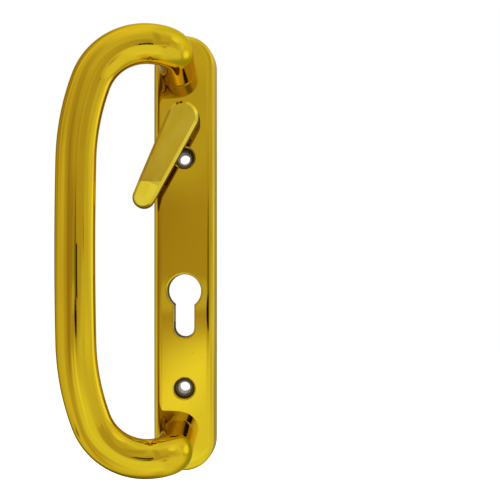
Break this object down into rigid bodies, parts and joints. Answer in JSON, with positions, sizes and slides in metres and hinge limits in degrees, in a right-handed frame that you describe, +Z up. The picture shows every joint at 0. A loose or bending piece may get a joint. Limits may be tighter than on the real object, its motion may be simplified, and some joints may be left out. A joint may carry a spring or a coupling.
{
  "type": "sliding patio door handle",
  "caption": "Sliding patio door handle, inside half: long backplate with a cylinder cut-out, a round bow pull set to one side and a small finger lever on a square spindle.",
  "frame": {"origin": "middle of the flat back of the backplate, on its centre line, half way up", "axes": "+X to the right seen from the room, +Y into the door, +Z up; the bow lies on the -X side"},
  "size_m": [0.075, 0.1129, 0.233],
  "materials": {
    "gold": "mirror-polished gold plating",
    "zinc_steel": "bright zinc plated steel",
    "dark_steel": "blackened spring steel",
    "nylon": "black moulded nylon"
  },
  "bodies": {
    "plate": {"backplate": "gold", "bow_handle": "gold", "bow_screw_upper": "zinc_steel", "bow_screw_lower": "zinc_steel", "bow_plain_washer_upper": "zinc_steel", "bow_plain_washer_lower": "zinc_steel", "bow_spring_washer_upper": "dark_steel", "bow_spring_washer_lower": "dark_steel", "lever_bush": "nylon", "thrust_washer": "zinc_steel"},
    "lever": {"lever": "gold", "disc_spring": "dark_steel", "stop_plate": "zinc_steel", "circlip": "dark_steel", "spindle": "zinc_steel", "spindle_grub_screw": "dark_steel"}
  },
  "joints": [
    {"name": "lever_turn", "type": "hinge", "parent": "plate", "child": "lever", "pos_m": [0, 0, 0.0699], "axis": [0, 1, 0], "range_deg": [-26, 64]}
  ]
}
